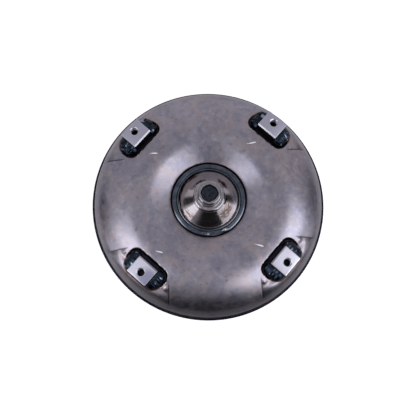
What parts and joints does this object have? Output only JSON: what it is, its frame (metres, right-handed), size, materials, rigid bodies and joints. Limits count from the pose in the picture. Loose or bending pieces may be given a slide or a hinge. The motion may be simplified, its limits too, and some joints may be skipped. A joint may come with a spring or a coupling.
{
  "type": "torque converter",
  "caption": "Welded torque converter: domed cover with a conical pilot and tapped drive lugs; finned impeller, turbine and one-way stator inside; slotted pump hub.",
  "frame": {"origin": "on the axis, in the plane of the pump drive hub's open end, which the part stands on", "axes": "+Z along the axis towards the engine and the pilot; the drive lugs lie at 45 degrees between +X and +Y"},
  "size_m": [0.296, 0.296, 0.143],
  "materials": {
    "pressed_steel": "pressed, lightly oiled",
    "machined_steel": "turned or ground",
    "weld_bead": "blued weld bead",
    "cast_aluminium": "cast",
    "bronze": "plain bearing bronze"
  },
  "bodies": {
    "housing": {"front_cover": "pressed_steel", "pilot_boss": "machined_steel", "pilot_weld": "weld_bead", "pilot_bush": "bronze", "drive_lug_1": "machined_steel", "drive_lug_2": "machined_steel", "drive_lug_3": "machined_steel", "drive_lug_4": "machined_steel", "lug_weld_1a": "weld_bead", "lug_weld_1b": "weld_bead", "lug_weld_2a": "weld_bead", "lug_weld_2b": "weld_bead", "lug_weld_3a": "weld_bead", "lug_weld_3b": "weld_bead", "lug_weld_4a": "weld_bead", "lug_weld_4b": "weld_bead", "impeller_shell": "pressed_steel", "impeller_blade_ring": "pressed_steel", "pump_drive_hub": "machined_steel", "hub_weld": "weld_bead", "rim_weld": "weld_bead", "balance_weight": "pressed_steel", "cover_bearing_race": "machined_steel", "rear_bearing_race": "machined_steel"},
    "turbine": {"turbine_shell": "pressed_steel", "turbine_blade_ring": "pressed_steel", "turbine_hub": "machined_steel", "front_bearing_race": "machined_steel", "turbine_rivet_1": "machined_steel", "turbine_rivet_2": "machined_steel", "turbine_rivet_3": "machined_steel", "turbine_rivet_4": "machined_steel", "turbine_rivet_5": "machined_steel", "turbine_rivet_6": "machined_steel", "turbine_rivet_7": "machined_steel", "turbine_rivet_8": "machined_steel"},
    "inner_race": {"stator_inner_race": "machined_steel"},
    "stator": {"stator_wheel": "cast_aluminium", "stator_cam_race": "machined_steel", "stator_rear_plate": "bronze", "stator_front_plate": "bronze", "stator_snap_ring": "machined_steel", "roller_spring_1": "machined_steel", "roller_spring_2": "machined_steel", "roller_spring_3": "machined_steel", "roller_spring_4": "machined_steel", "roller_spring_5": "machined_steel", "roller_spring_6": "machined_steel"},
    "roller_1": {"clutch_roller_1": "machined_steel"},
    "roller_2": {"clutch_roller_2": "machined_steel"},
    "roller_3": {"clutch_roller_3": "machined_steel"},
    "roller_4": {"clutch_roller_4": "machined_steel"},
    "roller_5": {"clutch_roller_5": "machined_steel"},
    "roller_6": {"clutch_roller_6": "machined_steel"},
    "front_cage": {"front_bearing_cage": "bronze"},
    "middle_cage": {"middle_bearing_cage": "bronze"},
    "rear_cage": {"rear_bearing_cage": "bronze"}
  },
  "joints": [
    {"name": "turbine_spin", "type": "hinge", "parent": "housing", "child": "turbine", "pos_m": [0, 0, 0.09], "axis": [0, 0, 1], "continuous": true},
    {"name": "inner_race_spin", "type": "hinge", "parent": "housing", "child": "inner_race", "pos_m": [0, 0, 0.074], "axis": [0, 0, 1], "continuous": true},
    {"name": "stator_spin", "type": "hinge", "parent": "inner_race", "child": "stator", "pos_m": [0, 0, 0.074], "axis": [0, 0, 1], "continuous": true},
    {"name": "roller_1_shift", "type": "hinge", "parent": "stator", "child": "roller_1", "pos_m": [0, 0, 0.074], "axis": [0, 0, 1], "range_deg": [0, 2.5], "stiffness_Nm_per_rad": 0.05, "springref_deg": -11.46, "deforming": ["roller_spring_1"]},
    {"name": "roller_2_shift", "type": "hinge", "parent": "stator", "child": "roller_2", "pos_m": [0, 0, 0.074], "axis": [0, 0, 1], "range_deg": [0, 2.5], "stiffness_Nm_per_rad": 0.05, "springref_deg": -11.46, "deforming": ["roller_spring_2"]},
    {"name": "roller_3_shift", "type": "hinge", "parent": "stator", "child": "roller_3", "pos_m": [0, 0, 0.074], "axis": [0, 0, 1], "range_deg": [0, 2.5], "stiffness_Nm_per_rad": 0.05, "springref_deg": -11.46, "deforming": ["roller_spring_3"]},
    {"name": "roller_4_shift", "type": "hinge", "parent": "stator", "child": "roller_4", "pos_m": [0, 0, 0.074], "axis": [0, 0, 1], "range_deg": [0, 2.5], "stiffness_Nm_per_rad": 0.05, "springref_deg": -11.46, "deforming": ["roller_spring_4"]},
    {"name": "roller_5_shift", "type": "hinge", "parent": "stator", "child": "roller_5", "pos_m": [0, 0, 0.074], "axis": [0, 0, 1], "range_deg": [0, 2.5], "stiffness_Nm_per_rad": 0.05, "springref_deg": -11.46, "deforming": ["roller_spring_5"]},
    {"name": "roller_6_shift", "type": "hinge", "parent": "stator", "child": "roller_6", "pos_m": [0, 0, 0.074], "axis": [0, 0, 1], "range_deg": [0, 2.5], "stiffness_Nm_per_rad": 0.05, "springref_deg": -11.46, "deforming": ["roller_spring_6"]},
    {"name": "front_cage_spin", "type": "hinge", "parent": "housing", "child": "front_cage", "pos_m": [0, 0, 0.098], "axis": [0, 0, 1], "continuous": true},
    {"name": "middle_cage_spin", "type": "hinge", "parent": "turbine", "child": "middle_cage", "pos_m": [0, 0, 0.0874], "axis": [0, 0, 1], "continuous": true},
    {"name": "rear_cage_spin", "type": "hinge", "parent": "housing", "child": "rear_cage", "pos_m": [0, 0, 0.0608], "axis": [0, 0, 1], "continuous": true}
  ],
  "couplings": [
    {"joint": "roller_2_shift", "follows": "roller_1_shift", "ratio": 1},
    {"joint": "roller_3_shift", "follows": "roller_1_shift", "ratio": 1},
    {"joint": "roller_4_shift", "follows": "roller_1_shift", "ratio": 1},
    {"joint": "roller_5_shift", "follows": "roller_1_shift", "ratio": 1},
    {"joint": "roller_6_shift", "follows": "roller_1_shift", "ratio": 1},
    {"joint": "front_cage_spin", "follows": "turbine_spin", "ratio": 0.5},
    {"joint": "rear_cage_spin", "follows": "inner_race_spin", "ratio": 0.5}
  ]
}
